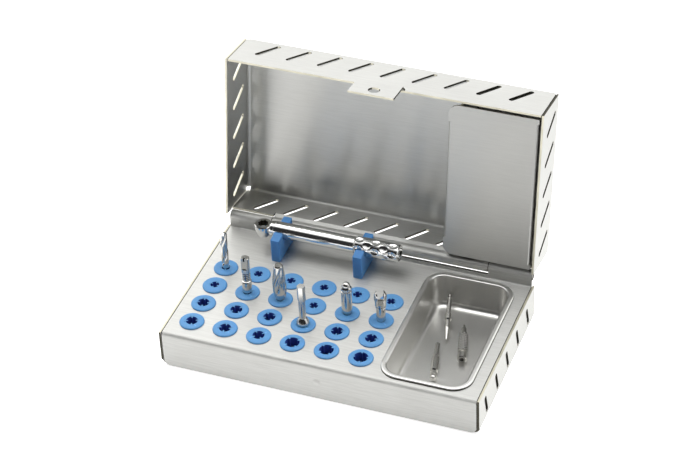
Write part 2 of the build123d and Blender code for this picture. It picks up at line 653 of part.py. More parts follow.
# the nut's grip: three rings of scallops with two rings between them, half a step on
with BuildPart() as ratchet_nut:
    with BuildSketch(lathe((nut_start, ratchet_y, ratchet_z), (nut_end, ratchet_y, ratchet_z))):
        add(half_profile([
            (nut_radius - 0.45, 0),
            (nut_radius, 0.45),
            (nut_radius, nut_length - 0.5),
            (nut_radius - 0.5, nut_length),
        ]))
    revolve(axis=Axis((0, ratchet_y, ratchet_z), (1, 0, 0)))
    scallop_step = (nut_length - 1.0) / 5
    for ring in range(5):
        ring_plane = Plane.YZ.offset(nut_start + (ring + 0.5) * scallop_step)
        reach = nut_radius + scallop_radius - scallop_depth
        with Locations(Plane(ring_plane.from_local_coords((ratchet_y, ratchet_z)), z_dir=(1, 0, 0))):
            with PolarLocations(reach, scallops, start_angle=(ring + 0.4) * 180 / scallops):
                Sphere(scallop_radius, mode=Mode.SUBTRACT)
    with BuildSketch(Plane.YZ.offset(nut_end)):
        with Locations((ratchet_y, ratchet_z)):
            Circle(nut_radius - 1.0)
    extrude(amount=-nut_recess, mode=Mode.SUBTRACT)
    with BuildSketch(Plane.YZ.offset(nut_start)):
        with Locations((ratchet_y, ratchet_z)):
            Circle(rod_radius + fit)
    extrude(amount=nut_length, mode=Mode.SUBTRACT)
finish(ratchet_nut, "ratchet_nut")

# === standing instruments: each shank drops through a grommet, its shoulder on the flange ===========
seat_z = base_height + flange_height + tool_seat
shank_steps = [
    (shank_radius - 0.2, -shank_length),
    (shank_radius, -shank_length + 0.2),
    (shank_radius, -shank_length + 1.2),
    (shank_radius - latch_groove, -shank_length + 1.3),
    (shank_radius - latch_groove, -shank_length + 2.0),
    (shank_radius, -shank_length + 2.1),
    (shank_radius, 0),
]


def latch_flat():
    """Flat at a latch shank's end, in the shank's own plane: one side is cut away."""
    with BuildSketch() as section:
        with Locations((shank_radius - latch_width + 1, 0)):
            Rectangle(2, 4 * shank_radius)
    return section.sketch


def above_deck(height):
    """Height over the grommet flange of a point given over the deck."""
    return base_height + height - seat_z


# twist drill
drill_x, drill_y = grommet_centre(*drill_place)
with BuildPart() as twist_drill:
    with BuildSketch(lathe((drill_x, drill_y, seat_z), (drill_x, drill_y, seat_z + 1))):
        add(half_profile(shank_steps + [(drill_radius, 0), (drill_radius, drill_start)]))
    revolve(axis=Axis((drill_x, drill_y, 0), (0, 0, 1)))
    with BuildSketch(Plane.XY, mode=Mode.PRIVATE) as web:
        Circle(drill_radius)
        with PolarLocations(drill_radius * 1.15, 2, start_angle=30):
            Circle(drill_radius * 0.72, mode=Mode.SUBTRACT)
    drill_tip = above_deck(drill_height)
    twisted = Solid.extrude_linear_with_rotation(
        web.sketch.faces()[0].moved(Location((drill_x, drill_y, seat_z + drill_start))),
        (drill_x, drill_y, seat_z + drill_start), (0, 0, drill_tip - drill_start), drill_twist,
    )
    add(twisted)
    with BuildSketch(lathe((drill_x, drill_y, seat_z), (drill_x, drill_y, seat_z + 1))):
        with BuildLine():
            cone = drill_radius * 0.62
            reach = 2 * drill_radius
            Polyline((0, drill_tip), (reach, drill_tip - 2 * cone), (reach, drill_tip), close=True)
        make_face()
    revolve(axis=Axis((drill_x, drill_y, 0), (0, 0, 1)), mode=Mode.SUBTRACT)
    with BuildSketch(Plane.XY.offset(seat_z - shank_length)):
        with Locations((drill_x, drill_y)):
            add(latch_flat())
    extrude(amount=latch_height, mode=Mode.SUBTRACT)
finish(twist_drill, "twist_drill")

# step driver: ringed grip, flat and slot at the head
step_x, step_y = grommet_centre(*step_place)
with BuildPart() as step_driver:
    top = above_deck(step_height)
    rings = []
    for k in range(step_rings):
        low = step_grip + k * ring_pitch
        groove = step_radius - ring_depth
        rings += [(groove, low), (groove, low + 0.35), (step_radius, low + 0.45), (step_radius, low + 0.95)]
    with BuildSketch(lathe((step_x, step_y, seat_z), (step_x, step_y, seat_z + 1))):
        add(half_profile(shank_steps + [
            (step_radius - 0.1, 0),
            (step_foot_radius, 0.5),
            (step_foot_radius, step_grip - 1.2),
            (step_foot_radius - 0.3, step_grip - 0.9),
            (step_foot_radius, step_grip - 0.6),
            (step_foot_radius, step_grip - 0.3),
        ] + rings + [(step_radius, top - 0.3), (step_radius - 0.3, top)]))
    revolve(axis=Axis((step_x, step_y, 0), (0, 0, 1)))
    with BuildSketch(Plane.XY.offset(seat_z + top)):
        with Locations((step_x, step_y - step_radius - 1 + 0.55)):
            Rectangle(4 * step_radius, 2)
    extrude(amount=-step_flat, mode=Mode.SUBTRACT)
    with BuildSketch(Plane.XY.offset(seat_z + top)):
        with Locations((step_x, step_y - step_radius + 0.9)):
            Rectangle(0.8, 2)
    extrude(amount=-1.6, mode=Mode.SUBTRACT)
    with BuildSketch(Plane.XY.offset(seat_z - shank_length)):
        with Locations((step_x, step_y)):
            add(latch_flat())
    extrude(amount=latch_height, mode=Mode.SUBTRACT)
finish(step_driver, "step_driver")

# flame drill: a bulging body with twisted flutes
flame_x, flame_y = grommet_centre(*flame_place)
with BuildPart() as flame_body:
    top = above_deck(flame_height)
    with BuildSketch(lathe((flame_x, flame_y, seat_z), (flame_x, flame_y, seat_z + 1))):
        with BuildLine():
            Polyline((flame_foot, 0), (0, 0), (0, top), (flame_tip * 0.8, top), (flame_tip, top - 0.5))
            Spline(
                (flame_tip, top - 0.5),
                (flame_radius * 0.9, top * 0.66),
                (flame_radius, top * 0.36),
                (flame_foot, 0),
            )
        make_face()
    revolve(axis=Axis((flame_x, flame_y, 0), (0, 0, 1)))
with BuildSketch(Plane.XY) as flame_section:
    Circle(flame_radius + 1)
    with PolarLocations(flame_radius + flame_flute * 0.3, flame_flutes, start_angle=-20):
        Circle(flame_flute, mode=Mode.SUBTRACT)
fluted = Solid.extrude_linear_with_rotation(
    flame_section.sketch.faces()[0].moved(Location((flame_x, flame_y, seat_z + 0.4))),
    (flame_x, flame_y, seat_z + 0.4), (0, 0, top), flame_twist,
)
with BuildPart() as flame_drill:
    with BuildSketch(lathe((flame_x, flame_y, seat_z), (flame_x, flame_y, seat_z + 1))):
        add(half_profile(shank_steps + [(flame_foot, 0), (flame_foot, 0.4)]))
    revolve(axis=Axis((flame_x, flame_y, 0), (0, 0, 1)))
    add(flame_body.part.intersect(fluted))
    with BuildSketch(Plane.XY.offset(seat_z - shank_length)):
        with Locations((flame_x, flame_y)):
            add(latch_flat())
    extrude(amount=latch_height, mode=Mode.SUBTRACT)
finish(flame_drill, "flame_drill")

# hexagon driver with a domed collar
hex_x, hex_y = grommet_centre(*hex_place)
with BuildPart() as hex_driver:
    top = above_deck(hex_height)
    with BuildSketch(lathe((hex_x, hex_y, seat_z), (hex_x, hex_y, seat_z + 1))):
        add(half_profile(shank_steps + [
            (hex_collar - 0.2, 0),
            (hex_collar, 0.3),
            (hex_collar, 1.3),
            (hex_collar - 0.5, 2.4),
            (hex_shaft + 0.4, 3.3),
            (hex_shaft, 3.7),
            (hex_shaft, top - hex_flats),
        ]))
    revolve(axis=Axis((hex_x, hex_y, 0), (0, 0, 1)))
    with BuildSketch(Plane.XY.offset(seat_z + top)):
        with Locations((hex_x, hex_y)):
            RegularPolygon(hex_radius, 6, rotation=10)
    extrude(amount=-hex_flats)
    with BuildSketch(Plane.XY.offset(seat_z - shank_length)):
        with Locations((hex_x, hex_y)):
            add(latch_flat())
    extrude(amount=latch_height, mode=Mode.SUBTRACT)
finish(hex_driver, "hex_driver")

# ball driver: a ball on a grooved, obliquely cut barrel
ball_x, ball_y = grommet_centre(*ball_place)
with BuildPart() as ball_driver:
    top = above_deck(ball_height)
    with BuildSketch(lathe((ball_x, ball_y, seat_z), (ball_x, ball_y, seat_z + 1))):
        add(half_profile(shank_steps + [
            (ball_body - 0.5, 0),
            (ball_body - 0.5, 0.8),
            (ball_body, 1.4),
            (ball_body, top - 2 * ball_radius - 1.0),
            (ball_body - 0.5, top - 2 * ball_radius - 0.8),
            (ball_body - 0.5, top - 2 * ball_radius - 0.3),
            (ball_body, top - 2 * ball_radius),
            (ball_body, top - 1.5 * ball_radius),
            (ball_body - 0.6, top - 1.1 * ball_radius),
        ]))
    revolve(axis=Axis((ball_x, ball_y, 0), (0, 0, 1)))
    with Locations((ball_x, ball_y, seat_z + top - ball_radius)):
        Sphere(ball_radius)
    with BuildSketch(Plane.XZ.offset(-ball_y + ball_body - 0.5)):
        with Locations((ball_x - ball_body, seat_z + top - 2.6 * ball_radius)):
            Rectangle(1.4 * ball_body, ball_cut, rotation=-35)
    extrude(amount=2, mode=Mode.SUBTRACT)
    with BuildSketch(Plane.XY.offset(seat_z - shank_length)):
        with Locations((ball_x, ball_y)):
            add(latch_flat())
    extrude(amount=latch_height, mode=Mode.SUBTRACT)
finish(ball_driver, "ball_driver")

# crown cutter: a hollow head with two blades, open between them, on a neck
crown_x, crown_y = grommet_centre(*crown_place)
with BuildPart() as crown_cutter:
    top = above_deck(crown_height)
    head_start = top - crown_head
    with BuildSketch(lathe((crown_x, crown_y, seat_z), (crown_x, crown_y, seat_z + 1))):
        add(half_profile(shank_steps + [
            (crown_neck, 0),
            (crown_neck, head_start - 1.4),
            (crown_neck + 0.35, head_start - 1.2),
            (crown_neck + 0.35, head_start - 0.5),
            (crown_neck - 0.1, head_start - 0.3),
            (crown_radius - 0.3, head_start),
        ]))
        with BuildLine():
            Polyline((crown_radius - 0.3, head_start), (0, head_start), (0, top), (crown_radius * 0.35, top))
            Spline(
                (crown_radius * 0.35, top),
                (crown_radius * 0.86, top - 0.16 * crown_head),
                (crown_radius, top - 0.45 * crown_head),
                (crown_radius - 0.3, head_start),
            )
        make_face()
    revolve(axis=Axis((crown_x, crown_y, 0), (0, 0, 1)))
    hollow = crown_radius - crown_wall
    with BuildSketch(lathe((crown_x, crown_y, seat_z), (crown_x, crown_y, seat_z + 1))):
        with BuildLine():
            belly = (hollow, top - 0.45 * crown_head)
            Polyline((0, top), (0, head_start + 1), (hollow - 0.4, head_start + 1), belly)
            Spline(belly, (hollow * 0.82, top - 0.22 * crown_head), (0.4, top))
            Line((0.4, top), (0, top))
        make_face()
    revolve(axis=Axis((crown_x, crown_y, 0), (0, 0, 1)), mode=Mode.SUBTRACT)
    with BuildSketch(Plane.XY.offset(seat_z + head_start + 1.2)):
        with Locations((crown_x, crown_y)):
            Rectangle(3 * crown_radius, crown_window, rotation=-62)
    extrude(amount=crown_head, mode=Mode.SUBTRACT)
    with BuildSketch(Plane.XY.offset(seat_z - shank_length)):
        with Locations((crown_x, crown_y)):
            add(latch_flat())
    extrude(amount=latch_height, mode=Mode.SUBTRACT)
finish(crown_cutter, "crown_cutter")

# === instruments lying in the bowl =================================================================
with BuildPart() as slim_driver:
    reach = (Vector(*slim_head) - Vector(*slim_foot)).length
    with BuildSketch(lathe(slim_foot, slim_head)):
        add(half_profile([
            (0.45, 0),
            (0.8, 3.5),
            (shank_radius, 7.0),
            (shank_radius, 0.42 * reach),
            (slim_collar, 0.44 * reach),
            (slim_collar, 0.56 * reach),
            (shank_radius, 0.59 * reach),
            (shank_radius, reach - 2.2),
            (shank_radius - latch_groove, reach - 2.1),
            (shank_radius - latch_groove, reach - 1.4),
            (shank_radius, reach - 1.3),
            (shank_radius, reach - 0.2),
            (shank_radius - 0.2, reach),
        ]))
    revolve(axis=Axis(slim_foot, Vector(*slim_head) - Vector(*slim_foot)))
finish(slim_driver, "slim_driver")

with BuildPart() as knurled_driver:
    knurl_axis = (Vector(*knurl_head) - Vector(*knurl_foot)).normalized()
    reach = (Vector(*knurl_head) - Vector(*knurl_foot)).length
    knurl_plane = lathe(knurl_foot, knurl_head)
    with BuildSketch(knurl_plane):
        add(half_profile([
            (0.6, 0),
            (0.75, 2.6),
            (knurl_radius * 0.62, 2.8),
            (knurl_radius * 0.62, 6.4),
            (knurl_radius - 0.3, 6.6),
            (knurl_radius, 6.9),
            (knurl_radius, reach - 5.2),
            (knurl_radius - 0.5, reach - 5.0),
            (knurl_radius - 0.5, reach - 3.9),
            (knurl_radius, reach - 3.7),
            (knurl_radius, reach - 0.3),
            (knurl_radius - 0.3, reach),
        ]))
    revolve(axis=Axis(knurl_foot, knurl_axis))
    with BuildSketch(Plane(origin=Vector(*knurl_foot) + knurl_axis * 7.6, z_dir=knurl_axis)):
        with PolarLocations(knurl_radius + 0.12, knurl_flutes):
            Circle(0.34)
    extrude(amount=reach - 13.6, mode=Mode.SUBTRACT)
    with BuildSketch(Plane(origin=knurl_head, z_dir=knurl_axis)):
        Circle(knurl_radius * 0.5)
    extrude(amount=-1.2, mode=Mode.SUBTRACT)
finish(knurled_driver, "knurled_driver")

with BuildPart() as ball_end_driver:
    rod_axis = (Vector(*rod_head) - Vector(*rod_foot)).normalized()
    reach = (Vector(*rod_head) - Vector(*rod_foot)).length
    with BuildSketch(lathe(rod_foot, rod_head)):
        add(half_profile([
            (shank_radius - 0.2, 0),
            (shank_radius, 0.2),
            (shank_radius, 0.36 * reach),
            (rod_body - 0.3, 0.38 * reach),
            (rod_body, 0.41 * reach),
            (rod_body, reach - 6.2),
            (rod_body - 0.6, reach - 5.6),
            (rod_body - 0.6, reach - 4.6),
            (rod_body - 0.1, reach - 4.2),
            (rod_body - 0.1, reach - 3.2),
            (rod_body - 0.8, reach - 2.7),
        ]))
    revolve(axis=Axis(rod_foot, rod_axis))
    with Locations(Vector(*rod_foot) + rod_axis * (reach - rod_ball)):
        Sphere(rod_ball)
finish(ball_end_driver, "ball_end_driver")
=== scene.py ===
import json
import math

import bmesh
import bpy
from mathutils import Euler, Matrix, Vector
from mathutils.bvhtree import BVHTree


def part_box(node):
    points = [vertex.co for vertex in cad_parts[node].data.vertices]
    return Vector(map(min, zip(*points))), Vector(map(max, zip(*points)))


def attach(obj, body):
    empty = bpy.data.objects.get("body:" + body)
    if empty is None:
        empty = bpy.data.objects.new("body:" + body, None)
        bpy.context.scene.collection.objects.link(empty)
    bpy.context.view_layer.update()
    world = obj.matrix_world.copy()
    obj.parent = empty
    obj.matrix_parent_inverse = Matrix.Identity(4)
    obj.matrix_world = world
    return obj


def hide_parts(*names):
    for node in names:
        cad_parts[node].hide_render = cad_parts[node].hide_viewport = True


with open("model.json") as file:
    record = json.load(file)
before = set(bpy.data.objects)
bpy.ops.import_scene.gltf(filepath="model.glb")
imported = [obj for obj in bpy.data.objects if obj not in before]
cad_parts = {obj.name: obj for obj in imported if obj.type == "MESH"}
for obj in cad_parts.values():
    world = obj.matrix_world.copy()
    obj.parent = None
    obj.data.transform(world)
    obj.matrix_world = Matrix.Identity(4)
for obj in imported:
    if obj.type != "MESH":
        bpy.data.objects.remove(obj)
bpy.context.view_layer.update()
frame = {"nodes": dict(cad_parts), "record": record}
nodes = frame["nodes"]
scene = bpy.context.scene
MM = 0.001

# --- nodes: short ways to make and link them ----------------------------------------------------------


def fill(tree, socket, value):
    """Links the input socket from another socket, or sets its number."""
    if isinstance(value, bpy.types.NodeSocket):
        tree.links.new(value, socket)
    else:
        socket.default_value = value


def node(tree, kind, settings=None, **values):
    """A node with its settings. A value's key is its socket's name, or i0, i1 ... for its place."""
    made = tree.nodes.new(kind)
    for key, value in (settings or {}).items():
        setattr(made, key, value)
    for key, value in values.items():
        by_place = key[0] == "i" and key[1:].isdigit()
        fill(tree, made.inputs[int(key[1:]) if by_place else key.replace("_", " ")], value)
    return made


def math_node(tree, operation, *values):
    """One scalar operation on numbers or sockets."""
    inputs = {f"i{place}": value for place, value in enumerate(values)}
    return node(tree, "ShaderNodeMath", {"operation": operation}, **inputs).outputs[0]


def map_range(tree, value, low, high, to_low, to_high):
    """The value taken from low..high to to_low..to_high, and no further."""
    made = node(tree, "ShaderNodeMapRange", i0=value, i1=low, i2=high, i3=to_low, i4=to_high)
    return made.outputs[0]


def mix_colour(tree, factor, first, second, blend="MIX"):
    """Two colours mixed or multiplied: each is a socket or (red, green, blue)."""
    made = node(tree, "ShaderNodeMix", {"data_type": "RGBA", "blend_type": blend})
    fill(tree, made.inputs[0], factor)
    for socket, value in ((made.inputs[6], first), (made.inputs[7], second)):
        fill(tree, socket, (*value, 1.0) if isinstance(value, tuple) else value)
    return made.outputs[2]


def noise(tree, place, scale, detail, roughness=0.5):
    """Noise from 0 to 1 over the place."""
    made = node(tree, "ShaderNodeTexNoise", Vector=place, Scale=scale, Detail=detail, Roughness=roughness)
    return made.outputs["Fac"]


def new_group(name, inputs, outputs):
    """An empty shader group with its sockets: {name: (kind, value)} in, {name: kind} out."""
    group = bpy.data.node_groups.new(name, "ShaderNodeTree")
    for label, (kind, value) in inputs.items():
        socket = group.interface.new_socket(label, in_out="INPUT", socket_type=kind)
        socket.default_value = value
    for label, kind in outputs.items():
        group.interface.new_socket(label, in_out="OUTPUT", socket_type=kind)
    return group, group.nodes.new("NodeGroupInput"), group.nodes.new("NodeGroupOutput")


def group_node(tree, group, **values):
    """A shader group placed in a material, with its own values."""
    made = tree.nodes.new("ShaderNodeGroup")
    made.node_tree = group
    for key, value in values.items():
        fill(tree, made.inputs[key], value)
    return made


# --- camera, room and light ---------------------------------------------------------------------------

CAMERA_PLACE = (0.328446, -0.808448, 0.756273)
CAMERA_TURN = (51.630964, 2.105438, 20.268716)  # degrees about X, Y and Z
CAMERA_LENS, CAMERA_SENSOR = 122.45, 36.0

SKY_LOW, SKY_HIGH, SKY_TOP, SKY_FRONT = 1.12, 1.25, 2.0, 0.03  # horizon, mid sky, top and the dim front
SKY_HIGH_AT = 0.55  # how high the mid sky is, as the sine of its angle
BACKDROP = (0.97, 0.97, 0.965)
# the last value is the floor's glow at the right, dimmed as painted shade
FLOOR_PAPER, FLOOR_GLOW, FLOOR_GLOW_SHADED = 0.80, 0.74, 0.30
FLOOR_HALF = 3.0
KEY, OVERHEAD = 1.5, 1.8  # watts


def place_camera():
    """A long lens over the right front corner, looking down into the box."""
    lens = bpy.data.cameras.new("camera")
    lens.sensor_width = CAMERA_SENSOR
    lens.lens = CAMERA_LENS
    lens.clip_start, lens.clip_end = 0.05, 20.0
    camera = bpy.data.objects.new("camera", lens)
    scene.collection.objects.link(camera)
    camera.location = CAMERA_PLACE
    camera.rotation_euler = Euler([math.radians(angle) for angle in CAMERA_TURN], "XYZ")
    scene.camera = camera


def soft_box(name, place, aim, size, power, colour=(1.0, 1.0, 1.0)):
    """A studio soft box: a rectangular light aimed at a point."""
    data = bpy.data.lights.new(name, "AREA")
    data.shape = "RECTANGLE"
    data.size, data.size_y = size
    data.energy = power
    data.color = colour
    lamp = bpy.data.objects.new(name, data)
    scene.collection.objects.link(lamp)
    lamp.location = place
    lamp.rotation_euler = (Vector(aim) - Vector(place)).to_track_quat("-Z", "Y").to_euler()


def studio_sky(tree):
    """Surroundings of a light tent: bright above and behind, dim towards the front where nothing is lit."""
    back = tree.nodes["Background"]
    place = node(tree, "ShaderNodeTexCoord")
    split = node(tree, "ShaderNodeSeparateXYZ", i0=place.outputs["Generated"])
    ramp = node(tree, "ShaderNodeValToRGB", Fac=split.outputs["Z"])
    stops = ramp.color_ramp.elements
    stops[0].position, stops[0].color = 0.0, (SKY_LOW, SKY_LOW, SKY_LOW * 0.985, 1)
    stops[1].position, stops[1].color = 1.0, (SKY_TOP, SKY_TOP, SKY_TOP, 1)
    stops.new(SKY_HIGH_AT).color = (SKY_HIGH, SKY_HIGH, SKY_HIGH * 0.99, 1)
    ahead = map_range(tree, split.outputs["Y"], 0.02, -0.35, 0.0, 1.0)
    below_boxes = map_range(tree, split.outputs["Z"], 0.80, 0.97, 1.0, 0.0)
    dim = math_node(tree, "MULTIPLY", ahead, below_boxes)
    lit = mix_colour(tree, dim, ramp.outputs["Color"], (SKY_FRONT, SKY_FRONT, SKY_FRONT * 1.03))
    rays = node(tree, "ShaderNodeLightPath")
    seen = mix_colour(tree, rays.outputs["Is Camera Ray"], lit, BACKDROP)
    tree.links.new(seen, back.inputs["Color"])
    back.inputs["Strength"].default_value = 1.0


def build_floor():
    """A pale paper floor that glows as a light table does, dimmer towards the right as painted shade."""
    corners = [(-FLOOR_HALF, -FLOOR_HALF, 0), (FLOOR_HALF, -FLOOR_HALF, 0),
               (FLOOR_HALF, FLOOR_HALF, 0), (-FLOOR_HALF, FLOOR_HALF, 0)]
    mesh = bpy.data.meshes.new("floor")
    mesh.from_pydata(corners, [], [(0, 1, 2, 3)])
    floor = bpy.data.objects.new("floor", mesh)
    scene.collection.objects.link(floor)
    paper, tree, shader = new_material("floor paper")
    shader.inputs["Base Color"].default_value = (FLOOR_PAPER, FLOOR_PAPER, FLOOR_PAPER, 1)
    shader.inputs["Roughness"].default_value = 0.9
    shader.inputs["Specular IOR Level"].default_value = 0.1
    shader.inputs["Emission Color"].default_value = (1.0, 1.0, 0.995, 1)
    place = node(tree, "ShaderNodeTexCoord")
    across = node(tree, "ShaderNodeSeparateXYZ", i0=place.outputs["Object"])
    # the glow is dimmer towards the right: painted shade on the floor
    glow = map_range(tree, across.outputs["X"], 0.02, 0.25, FLOOR_GLOW, FLOOR_GLOW_SHADED)
    tree.links.new(glow, shader.inputs["Emission Strength"])
    mesh.materials.append(paper)


def build_room():
    """Light surroundings, the floor, and two soft boxes over it."""
    world = bpy.data.worlds.new("light tent")
    scene.world = world
    world.use_nodes = True
    studio_sky(world.node_tree)
    build_floor()
    soft_box("key", (-0.70, 0.15, 1.00), (0.0, 0.0, 0.03), (0.9, 0.7), KEY, (1.0, 0.99, 0.97))
    soft_box("overhead", (0.05, 0.25, 1.25), (0.0, 0.02, 0.03), (1.2, 0.8), OVERHEAD)
    scene.view_settings.view_transform = "Standard"
    scene.view_settings.look = "None"
    scene.view_settings.exposure = 0.0


# --- shader groups ------------------------------------------------------------------------------------


def brushed_grain():
    """Fine parallel lines of a belt-brushed sheet: a height and a mask, both along one direction."""
    group, given, out = new_group(
        "brushed grain",
        {"Vector": ("NodeSocketVector", (0, 0, 0)), "Stretch": ("NodeSocketVector", (1, 1, 1))},
        {"Height": "NodeSocketFloat", "Mask": "NodeSocketFloat"},
    )
    scaled = node(
        group, "ShaderNodeVectorMath", {"operation": "MULTIPLY"},
        i0=given.outputs["Vector"], i1=given.outputs["Stretch"],
    )
    fine = math_node(group, "MULTIPLY", noise(group, scaled.outputs[0], 2400.0, 2.0), 0.6)
    height = math_node(group, "MULTIPLY_ADD", noise(group, scaled.outputs[0], 1000.0, 2.0), 0.4, fine)
    group.links.new(height, out.inputs["Height"])
    group.links.new(map_range(group, height, 0.36, 0.64, 0.0, 1.0), out.inputs["Mask"])
    return group


def handling_marks():
    """Soft cloudy patches that a used steel or rubber surface shows."""
    group, given, out = new_group(
        "handling marks",
        {"Vector": ("NodeSocketVector", (0, 0, 0)), "Size": ("NodeSocketFloat", 1.0)},
        {"Patches": "NodeSocketFloat"},
    )
    scaled = node(
        group, "ShaderNodeVectorMath", {"operation": "SCALE"},
        i0=given.outputs["Vector"], Scale=given.outputs["Size"],
    )
    group.links.new(noise(group, scaled.outputs[0], 26.0, 5.0, 0.55), out.inputs["Patches"])
    return group


def edge_wear_and_highlight():
    """Where a surface turns sharply: a mask from how pointed it is, for edges lightened as wear and as a
    painted highlight.
    """
    group, given, out = new_group(
        "edge wear and painted highlight",
        {"Low": ("NodeSocketFloat", 0.52), "High": ("NodeSocketFloat", 0.62)},
        {"Mask": "NodeSocketFloat"},
    )
    pointed = node(group, "ShaderNodeNewGeometry").outputs["Pointiness"]
    mask = map_range(group, pointed, given.outputs["Low"], given.outputs["High"], 0.0, 1.0)
    group.links.new(mask, out.inputs["Mask"])
    return group


# --- materials ----------------------------------------------------------------------------------------

# Cycles' denoiser treats glossy surfaces over and under a roughness of about 0.27 in two ways, so no
# sheet's roughness varies across that value.

# painted shade: the deep blue on the wall of a grommet's opening
OPENING_SHADE = (0.03, 0.07, 0.36)


def new_material(name):
    """A material with its node tree and its Principled shader."""
    made = bpy.data.materials.new(name)
    made.use_nodes = True
    return made, made.node_tree, made.node_tree.nodes["Principled BSDF"]


def add_bump(tree, shader, height, strength, distance):
    """Bump from a height, into the shader's normal."""
    bump = node(tree, "ShaderNodeBump", Strength=strength, Distance=distance, Height=height)
    tree.links.new(bump.outputs[0], shader.inputs["Normal"])


def brushed_steel(name, stretch, light, dark, rough, anisotropy, grain_depth, tangent):
    """Belt-brushed stainless sheet with its grain along one direction."""
    made, tree, shader = new_material(name)
    place = node(tree, "ShaderNodeTexCoord")
    grain = group_node(tree, GRAIN, Vector=place.outputs["Object"], Stretch=stretch)
    marks = group_node(tree, MARKS, Vector=place.outputs["Object"], Size=1.0)
    tone = mix_colour(tree, grain.outputs["Mask"], dark, light)
    clouds = map_range(tree, marks.outputs["Patches"], 0.3, 0.7, 0.95, 1.0)
    tree.links.new(mix_colour(tree, 1.0, tone, clouds, "MULTIPLY"), shader.inputs["Base Color"])
    spread = map_range(tree, marks.outputs["Patches"], 0.25, 0.75, rough, rough * 1.15)
    roughness = math_node(tree, "MULTIPLY_ADD", grain.outputs["Mask"], 0.02, spread)
    tree.links.new(roughness, shader.inputs["Roughness"])
    shader.inputs["Metallic"].default_value = 1.0
    shader.inputs["Anisotropic"].default_value = anisotropy
    shader.inputs["Anisotropic Rotation"].default_value = 0.25
    along = node(tree, "ShaderNodeCombineXYZ", X=tangent[0], Y=tangent[1], Z=tangent[2])
    tree.links.new(along.outputs[0], shader.inputs["Tangent"])
    add_bump(tree, shader, grain.outputs["Height"], grain_depth, 0.04 * MM)
    return made


def polished_steel(name, light, rough, marks_size=3.0):
    """Turned and polished instrument steel with faint handling marks, and sharp edges lightened, partly as
    wear and partly as a painted highlight.
    """
    made, tree, shader = new_material(name)
    place = node(tree, "ShaderNodeTexCoord")
    marks = group_node(tree, MARKS, Vector=place.outputs["Object"], Size=marks_size)
    worn = group_node(tree, EDGE)
    dull = tuple(v * 0.86 for v in light)
    tone = mix_colour(tree, marks.outputs["Patches"], dull, light)
    # sharp edges are lighter: partly wear, partly a painted highlight
    bright = mix_colour(tree, worn.outputs["Mask"], tone, tuple(min(1, v * 1.1) for v in light))
    tree.links.new(bright, shader.inputs["Base Color"])
    spread = map_range(tree, marks.outputs["Patches"], 0.3, 0.7, rough * 0.8, rough * 1.25)
    tree.links.new(spread, shader.inputs["Roughness"])
    shader.inputs["Metallic"].default_value = 1.0
    add_bump(tree, shader, noise(tree, place.outputs["Object"], 2600.0, 2.0), 0.04, 0.02 * MM)
    return made


def knurled_steel(name, valley_shade, crest):
    """Steel with painted shade between the points of its knurl, and lighter on them, partly as wear and
    partly as a painted highlight.
    """
    made, tree, shader = new_material(name)
    raised = node(tree, "ShaderNodeAttribute", {"attribute_name": "crest"}).outputs["Fac"]
    place = node(tree, "ShaderNodeTexCoord")
    marks = group_node(tree, MARKS, Vector=place.outputs["Object"], Size=4.0)
    # near-black valleys are painted shade; light crests are partly wear and partly a painted highlight
    tone = mix_colour(tree, map_range(tree, raised, 0.40, 0.70, 0.0, 1.0), valley_shade, crest)
    clouds = map_range(tree, marks.outputs["Patches"], 0.3, 0.7, 0.85, 1.0)
    tree.links.new(mix_colour(tree, 1.0, tone, clouds, "MULTIPLY"), shader.inputs["Base Color"])
    tree.links.new(map_range(tree, raised, 0.0, 1.0, 0.5, 0.3), shader.inputs["Roughness"])
    shader.inputs["Metallic"].default_value = 1.0
    return made


def silicone(name, light, deep):
    """Moulded silicone: soft sheen, faint mottling, pores, edges lightened as a painted highlight, and a
    deep blue painted shade on the wall of an opening.
    """
    made, tree, shader = new_material(name)
    place = node(tree, "ShaderNodeTexCoord")
    marks = group_node(tree, MARKS, Vector=place.outputs["Object"], Size=2.4)
    tone = mix_colour(tree, marks.outputs["Patches"], deep, light)
    worn = group_node(tree, EDGE)
    # sharp edges are lighter: a painted highlight
    edge_highlighted = mix_colour(tree, worn.outputs["Mask"], tone, tuple(min(1, v * 1.18) for v in light))
    wall = node(tree, "ShaderNodeAttribute", {"attribute_name": "opening"})
    # the wall of an opening gets the deep blue of painted shade
    coloured = mix_colour(tree, wall.outputs["Fac"], edge_highlighted, OPENING_SHADE)
    tree.links.new(coloured, shader.inputs["Base Color"])
    spread = map_range(tree, marks.outputs["Patches"], 0.3, 0.7, 0.46, 0.6)
    tree.links.new(spread, shader.inputs["Roughness"])
    shader.inputs["Specular IOR Level"].default_value = 0.42
    shader.inputs["Subsurface Weight"].default_value = 0.18
    shader.inputs["Subsurface Radius"].default_value = (0.0008, 0.0011, 0.0018)
    shader.inputs["Subsurface Scale"].default_value = 1.0
    add_bump(tree, shader, noise(tree, place.outputs["Object"], 1900.0, 3.0), 0.10, 0.03 * MM)
    return made


place_camera()
build_room()
GRAIN = brushed_grain()
MARKS = handling_marks()
EDGE = edge_wear_and_highlight()

